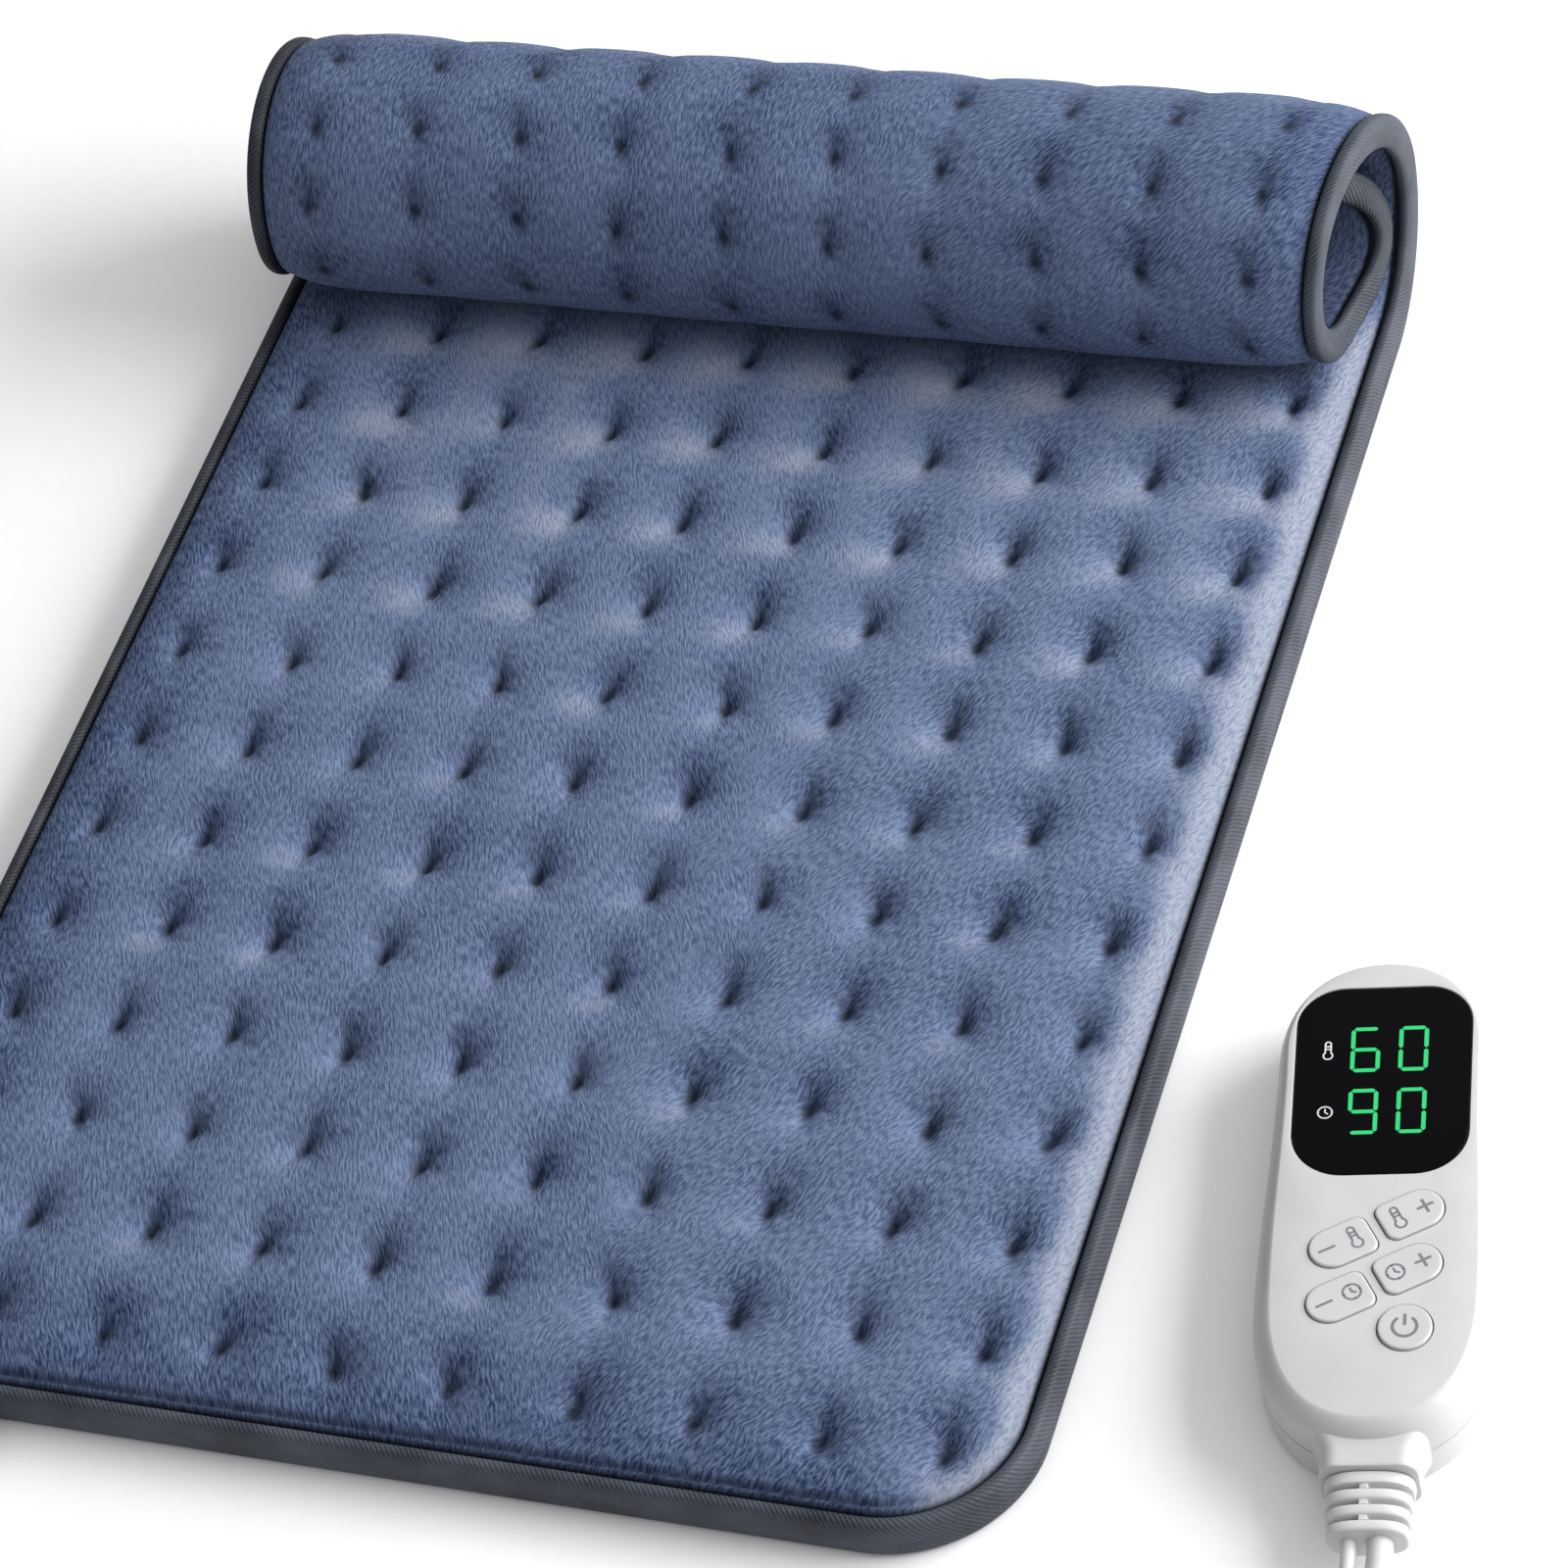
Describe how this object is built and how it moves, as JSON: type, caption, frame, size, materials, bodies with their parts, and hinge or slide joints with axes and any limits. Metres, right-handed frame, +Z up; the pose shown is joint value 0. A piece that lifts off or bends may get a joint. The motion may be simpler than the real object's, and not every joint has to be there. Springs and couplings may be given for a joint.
{
  "type": "heating pad with controller",
  "caption": "Tufted plush heating pad, rolled up at its far end, with a bound edge, a plug-in lead and a white corded hand controller with a display and push buttons.",
  "frame": {"origin": "On the pad's underside, on its centre line, midway between its front edge and the back of the roll", "axes": "+Z up from the surface that the pad lies on, +Y from the front edge towards the roll, +X towards the controller"},
  "size_m": [0.4905, 0.5331, 0.074],
  "materials": {
    "plush": "short blue velvet nap",
    "binding": "grey twill tape",
    "felt": "grey felt",
    "heating_wire": "red silicone insulation",
    "sleeve": "shrink sleeve",
    "black_plastic": "moulded black",
    "brass": "bright",
    "cord": "white vinyl",
    "case": "satin white moulding",
    "window": "gloss black",
    "module": "dark grey",
    "board": "green circuit board",
    "button": "satin white with a printed sign",
    "screw": "zinc plated",
    "film": "yellow resin",
    "fuse": "glass tube",
    "tie": "hook-and-loop tape"
  },
  "bodies": {
    "pad_and_case": {"top_cover": "plush", "bottom_cover": "plush", "edge_binding": "binding", "wire_carrier": "felt", "heating_wire": "heating_wire", "thermal_cutout_1": "sleeve", "thermal_cutout_2": "sleeve", "pad_socket": "black_plastic", "socket_pin_1": "brass", "socket_pin_2": "brass", "socket_pin_3": "brass", "socket_pin_4": "brass", "lead_connector": "cord", "rear_shell": "case", "front_shell": "case", "display_window": "window", "display_module": "module", "circuit_board": "board", "temp_down_switch": "black_plastic", "temp_up_switch": "black_plastic", "timer_down_switch": "black_plastic", "timer_up_switch": "black_plastic", "power_switch": "black_plastic", "case_screw_1": "screw", "case_screw_2": "screw", "case_screw_3": "screw", "case_screw_4": "screw", "triac": "black_plastic", "film_capacitor": "film", "electrolytic_capacitor": "sleeve", "fuse": "fuse", "strain_relief": "cord", "pad_lead": "cord", "mains_lead": "cord", "mains_coil": "cord", "mains_tail": "cord", "cord_tie": "tie", "plug_body": "cord", "plug_blade_1": "brass", "plug_blade_2": "brass"},
    "temp_down": {"temp_down_button": "button", "temp_down_plunger": "module"},
    "temp_up": {"temp_up_button": "button", "temp_up_plunger": "module"},
    "timer_down": {"timer_down_button": "button", "timer_down_plunger": "module"},
    "timer_up": {"timer_up_button": "button", "timer_up_plunger": "module"},
    "power": {"power_button": "button", "power_plunger": "module"}
  },
  "joints": [
    {"name": "temp_down_press", "type": "slide", "parent": "pad_and_case", "child": "temp_down", "axis": [0, 0, -1], "range_m": [0, 0.0007], "stiffness_N_per_m": 1500, "springref_m": -0.0005},
    {"name": "temp_up_press", "type": "slide", "parent": "pad_and_case", "child": "temp_up", "axis": [0, 0, -1], "range_m": [0, 0.0007], "stiffness_N_per_m": 1500, "springref_m": -0.0005},
    {"name": "timer_down_press", "type": "slide", "parent": "pad_and_case", "child": "timer_down", "axis": [0, 0, -1], "range_m": [0, 0.0007], "stiffness_N_per_m": 1500, "springref_m": -0.0005},
    {"name": "timer_up_press", "type": "slide", "parent": "pad_and_case", "child": "timer_up", "axis": [0, 0, -1], "range_m": [0, 0.0007], "stiffness_N_per_m": 1500, "springref_m": -0.0005},
    {"name": "power_press", "type": "slide", "parent": "pad_and_case", "child": "power", "axis": [0, 0, -1], "range_m": [0, 0.0007], "stiffness_N_per_m": 1500, "springref_m": -0.0005}
  ]
}
